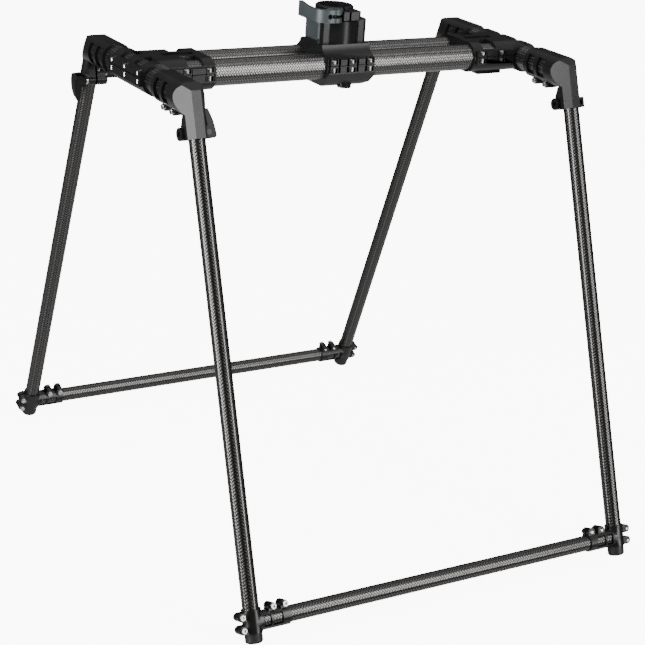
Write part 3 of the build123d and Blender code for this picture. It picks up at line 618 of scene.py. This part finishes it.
# Finish, slot, and how the names of its pieces begin
machined = (
    (black_anodised, "black_anodised", ("end_clamp_upper", "end_clamp_lower", "centre_clamp_upper",
                                        "centre_clamp_lower", "receiver_body", "elbow_front", "elbow_rear")),
    (slate_anodised, "grey_anodised", ("release_button", "receiver_cam_lever")),
    (moulded_black, "moulded_black", ("foot_front", "foot_rear")),
    (cap_rubber, "rubber_cap", ("foot_cap",)),
    (lever_black, "black_anodised", ("leg_lever",)))
for finish, slot, beginnings in machined:
    for node in sorted(name for name in nodes if name.startswith(beginnings)):
        softened(node, finish)

# %% [markdown]
# ## Small hardware that keeps its solid
#
# The nuts, cam pins, washers, pinch bolts and the spring are small and mostly hidden. Their solids
# are right as they are, so they only get a finish: black steel or bright stainless.

# %% Finish the small hardware
small_hardware = {
    black_steel: ("leg_clamp_bolts", "leg_clamp_pins", "collar_pinch_bolt", "cam_barrel"),
    stainless: ("end_clamp_nuts_left", "end_clamp_nuts_right", "centre_clamp_nuts", "leg_clamp_washers",
                "release_spring")}
for finish, members in small_hardware.items():
    for node in members:
        nodes[node].data.materials.clear()
        nodes[node].data.materials.append(finish)
    print(finish.name, "on", ", ".join(members))

# %% [markdown]
# ## Floor, light and camera
#
# The floor is a plain pale sheet. Two tall soft boxes light the stand, one straight from the left and
# one from the front on the right, so that every tube shows two bright bands with a dark one between.

# %% Floor
def pale_floor():
    work = bmesh.new()
    bmesh.ops.create_circle(work, cap_ends=True, radius=14.0, segments=64)
    mesh = bpy.data.meshes.new("floor")
    work.to_mesh(mesh)
    work.free()
    material, tree = new_material("pale_floor")
    shader = add(tree, "ShaderNodeBsdfPrincipled", {
        "Base Color": (0.86, 0.86, 0.86, 1), "Roughness": 0.9, "Specular IOR Level": 0.1,
        "Emission Color": (1, 1, 1, 1), "Emission Strength": 9.0})
    add(tree, "ShaderNodeOutputMaterial", {0: shader.outputs[0]})
    mesh.materials.append(material)
    floor = bpy.data.objects.new("floor", mesh)
    bpy.context.scene.collection.objects.link(floor)
    floor.location.z = cad_bounds[0][2] - 0.0002
    # The room round the stand is dark, so the floor shows to the camera but isn't mirrored in the tubes
    floor.visible_glossy = False
    floor.visible_diffuse = False
    print("floor at", round(floor.location.z, 5))


pale_floor()

# %% Soft boxes
aim_height = 0.42


def soft_box(name, azimuth, elevation, distance, width, height, watts):
    """A tall area light that faces the stand, turned this many degrees from -Y towards +X and raised."""
    lamp = bpy.data.lights.new(name, "AREA")
    lamp.shape = "RECTANGLE"
    lamp.size, lamp.size_y = width, height
    lamp.energy = watts
    thing = bpy.data.objects.new(name, lamp)
    bpy.context.scene.collection.objects.link(thing)
    turn, rise = math.radians(azimuth), math.radians(elevation)
    out = Vector((math.sin(turn) * math.cos(rise), -math.cos(turn) * math.cos(rise), math.sin(rise)))
    thing.location = out * distance + Vector((0, 0, aim_height))
    thing.rotation_euler = (-out).to_track_quat("-Z", "Y").to_euler()
    print(name, "at", [round(value, 3) for value in thing.location])


soft_box("left_box", -83.0, 8.0, 2.2, 0.85, 1.9, 72)
soft_box("front_right_box", 27.0, 20.0, 2.2, 0.62, 2.8, 50)

# %% [markdown]
# ### The room
#
# The tubes mirror a dark room with a pale floor below, which is what gives the rear legs and the
# booms their soft grey. The camera itself sees plain white behind the stand.

# %% The room
world = bpy.data.worlds.new("studio")
bpy.context.scene.world = world
world.use_nodes = True
studio = world.node_tree
studio.nodes.clear()
seen = add(studio, "ShaderNodeLightPath").outputs["Is Camera Ray"]
gaze = add(studio, "ShaderNodeTexCoord").outputs["Generated"]
rise = add(studio, "ShaderNodeSeparateXYZ", {0: gaze}).outputs[2]
height = add(studio, "ShaderNodeMapRange", {0: rise, 1: -1.0, 2: 1.0, 3: 0.0, 4: 1.0}).outputs[0]
room = add(studio, "ShaderNodeValToRGB", {0: height})
# Straight down is 0, level is a half and straight up is 1, each with the brightness there
stops = ((0.0, 0.75), (0.24, 0.60), (0.36, 0.06), (0.72, 0.04), (1.0, 0.14))
for place, level in stops:
    stop = room.color_ramp.elements.new(place)
    stop.color = (level, level, level, 1)
room.color_ramp.elements.remove(room.color_ramp.elements[0])
room.color_ramp.elements.remove(room.color_ramp.elements[-1])
print("room", [(round(stop.position, 2), round(stop.color[0], 2)) for stop in room.color_ramp.elements])
dim = add(studio, "ShaderNodeBackground", {"Color": room.outputs["Color"], "Strength": 1.0})
bright = add(studio, "ShaderNodeBackground", {"Color": (0.97, 0.97, 0.97, 1), "Strength": 9.0})
sky = add(studio, "ShaderNodeMixShader", {0: seen, 1: dim.outputs[0], 2: bright.outputs[0]})
add(studio, "ShaderNodeOutputWorld", {0: sky.outputs[0]})

# %% [markdown]
# ### The camera
#
# A long lens from the front left, a little above the booms and looking down. The three angles are
# the turn from +Y towards +X, the tilt down and the small roll.

# %% Camera
camera_place = Vector((-0.87187, -1.42823, 0.81247))
camera_yaw, camera_pitch, camera_roll = 0.5525, 0.3622, -0.0707
ahead = math.cos(camera_pitch)
forward = Vector((math.sin(camera_yaw) * ahead, math.cos(camera_yaw) * ahead, -math.sin(camera_pitch)))
level = Vector((math.cos(camera_yaw), -math.sin(camera_yaw), 0))
below = forward.cross(level)
right = math.cos(camera_roll) * level + math.sin(camera_roll) * below
down = -math.sin(camera_roll) * level + math.cos(camera_roll) * below
lens_data = bpy.data.cameras.new("camera")
lens_data.sensor_width = 36.0
lens_data.lens = 98.11
camera = bpy.data.objects.new("camera", lens_data)
bpy.context.scene.collection.objects.link(camera)
turned = Matrix((right, -down, -forward)).transposed().to_4x4()
camera.matrix_world = Matrix.Translation(camera_place) @ turned
bpy.context.scene.camera = camera
print("camera distance", round(camera_place.length, 3))
